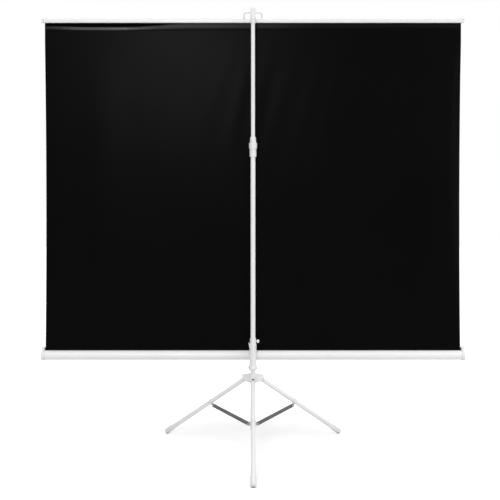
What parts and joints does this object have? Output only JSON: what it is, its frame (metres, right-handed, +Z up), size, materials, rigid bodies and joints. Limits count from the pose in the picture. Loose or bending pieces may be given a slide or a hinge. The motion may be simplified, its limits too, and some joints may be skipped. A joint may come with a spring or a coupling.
{
  "type": "tripod projection screen",
  "caption": "Tripod projection screen: a black-backed sheet pulled up from a spring-roller case to a hook on a telescoping mast, standing on folding braced legs.",
  "frame": {"origin": "centre of the bounding box's footprint, on the floor", "axes": "+Z up along the mast, +X to the right seen from the back of the sheet, +Y out of the viewing side; the single leg points to -Y"},
  "size_m": [2.1246, 0.8064, 2.187],
  "materials": {
    "white_enamel": "smooth white powder coat, satin",
    "white_plastic": "moulded white plastic, satin",
    "white_aluminium": "extruded aluminium, white powder coat",
    "grey_enamel": "dark grey paint, satin",
    "steel": "zinc-plated steel",
    "aluminium": "drawn aluminium, plain",
    "sheet_fabric": "matt black vinyl back with a fine grain; the viewing side is matt white with a black border",
    "black_felt": "black brushed felt"
  },
  "bodies": {
    "mast": {"outer_mast_tube": "white_enamel", "mast_foot_plug": "white_plastic", "lower_collar": "white_plastic", "lock_sleeve": "white_plastic", "lock_collet": "white_plastic"},
    "twist_ring": {"lock_ring": "white_plastic"},
    "hub": {"hub_body": "white_plastic", "leg_pin_front": "steel", "leg_pin_left": "steel", "leg_pin_right": "steel"},
    "leg_front": {"leg_tube_front": "white_enamel", "leg_plug_front": "white_plastic", "foot_front": "white_plastic", "brace_clip_front": "white_plastic", "brace_rivet_front": "steel"},
    "brace_arm_front": {"brace_front": "grey_enamel", "brace_pin_front": "steel"},
    "leg_left": {"leg_tube_left": "white_enamel", "leg_plug_left": "white_plastic", "foot_left": "white_plastic", "brace_clip_left": "white_plastic", "brace_rivet_left": "steel"},
    "brace_arm_left": {"brace_left": "grey_enamel", "brace_pin_left": "steel"},
    "leg_right": {"leg_tube_right": "white_enamel", "leg_plug_right": "white_plastic", "foot_right": "white_plastic", "brace_clip_right": "white_plastic", "brace_rivet_right": "steel"},
    "brace_arm_right": {"brace_right": "grey_enamel", "brace_pin_right": "steel"},
    "inner_mast": {"inner_mast_tube": "white_enamel", "inner_mast_bush": "white_plastic", "mast_head": "white_plastic", "head_screw": "steel"},
    "carrier": {"carrier_sleeve": "white_plastic", "trigger_pin": "steel", "trigger_spring": "steel"},
    "knob": {"lock_knob": "white_plastic"},
    "trigger": {"release_trigger": "white_plastic"},
    "case": {"case_tube": "white_enamel", "end_cap_right": "white_plastic", "end_cap_left": "white_plastic", "slot_seal": "black_felt", "case_saddle": "white_plastic", "pivot_bolt": "steel", "spring_shaft": "steel", "idle_pin": "steel", "return_spring": "steel", "screen_sheet": "sheet_fabric"},
    "roller": {"roller_tube": "aluminium", "roller_plug_right": "white_plastic", "roller_plug_left": "white_plastic", "sheet_roll": "sheet_fabric"},
    "slat": {"top_slat": "white_aluminium", "hem_rod": "white_plastic", "slat_cap_right": "white_plastic", "slat_cap_left": "white_plastic", "pull_handle": "white_plastic"}
  },
  "joints": [
    {"name": "hub_slide", "type": "slide", "parent": "mast", "child": "hub", "axis": [0, 0, 1], "range_m": [0, 0.23927]},
    {"name": "leg_fold_front", "type": "hinge", "parent": "hub", "child": "leg_front", "pos_m": [0, 0.08298, 0.343], "axis": [1, 0, 0], "range_deg": [0, 55.1]},
    {"name": "brace_fold_front", "type": "hinge", "parent": "leg_front", "child": "brace_arm_front", "pos_m": [0, -0.10455, 0.18535], "axis": [-1, 0, 0], "range_deg": [0, 128.4]},
    {"name": "leg_fold_left", "type": "hinge", "parent": "hub", "child": "leg_left", "pos_m": [-0.03984, 0.15198, 0.343], "axis": [-0.5, -0.866, 0], "range_deg": [0, 55.1]},
    {"name": "brace_fold_left", "type": "hinge", "parent": "leg_left", "child": "brace_arm_left", "pos_m": [-0.20224, 0.24575, 0.18535], "axis": [0.5, 0.866, 0], "range_deg": [0, 128.4]},
    {"name": "leg_fold_right", "type": "hinge", "parent": "hub", "child": "leg_right", "pos_m": [0.03984, 0.15198, 0.343], "axis": [-0.5, 0.866, 0], "range_deg": [0, 55.1]},
    {"name": "brace_fold_right", "type": "hinge", "parent": "leg_right", "child": "brace_arm_right", "pos_m": [0.20224, 0.24575, 0.18535], "axis": [0.5, -0.866, 0], "range_deg": [0, 128.4]},
    {"name": "carrier_raise", "type": "slide", "parent": "hub", "child": "carrier", "axis": [0, 0, 1], "range_m": [0, 0.65]},
    {"name": "case_swing", "type": "hinge", "parent": "carrier", "child": "case", "pos_m": [0, 0.18898, 0.453], "axis": [0, 1, 0], "range_deg": [0, 90]},
    {"name": "slat_travel", "type": "slide", "parent": "case", "child": "slat", "axis": [0, 0, -1], "range_m": [0, 1.625], "deforming": ["screen_sheet"]},
    {"name": "roller_turn", "type": "hinge", "parent": "case", "child": "roller", "pos_m": [0, 0.18498, 0.453], "axis": [-1, 0, 0], "range_deg": [0, 6840]},
    {"name": "inner_mast_slide", "type": "slide", "parent": "hub", "child": "inner_mast", "axis": [0, 0, -1], "range_m": [0, 0.56]},
    {"name": "lock_ring_twist", "type": "hinge", "parent": "mast", "child": "twist_ring", "pos_m": [0, 0.12898, 1.5], "axis": [0, 0, 1], "range_deg": [0, 90]},
    {"name": "knob_turn", "type": "hinge", "parent": "carrier", "child": "knob", "pos_m": [0.022, 0.12898, 0.534], "axis": [1, 0, 0], "range_deg": [0, 180]},
    {"name": "trigger_squeeze", "type": "hinge", "parent": "carrier", "child": "trigger", "pos_m": [-0.0154, 0.12898, 0.499], "axis": [0, 1, 0], "range_deg": [0, 8], "stiffness_Nm_per_rad": 0.5, "springref_deg": -2.86, "deforming": ["trigger_spring"]}
  ],
  "couplings": [
    {"joint": "leg_fold_front", "follows": "hub_slide", "rad_per_m": 4.0192},
    {"joint": "brace_fold_front", "follows": "hub_slide", "rad_per_m": 9.366},
    {"joint": "leg_fold_left", "follows": "hub_slide", "rad_per_m": 4.0192},
    {"joint": "brace_fold_left", "follows": "hub_slide", "rad_per_m": 9.366},
    {"joint": "leg_fold_right", "follows": "hub_slide", "rad_per_m": 4.0192},
    {"joint": "brace_fold_right", "follows": "hub_slide", "rad_per_m": 9.366},
    {"joint": "case_swing", "follows": "carrier_raise", "rad_per_m": 2.4166},
    {"joint": "slat_travel", "follows": "carrier_raise", "ratio": 2.5},
    {"joint": "roller_turn", "follows": "carrier_raise", "rad_per_m": 183.66},
    {"joint": "inner_mast_slide", "follows": "carrier_raise", "ratio": 0.86154}
  ]
}
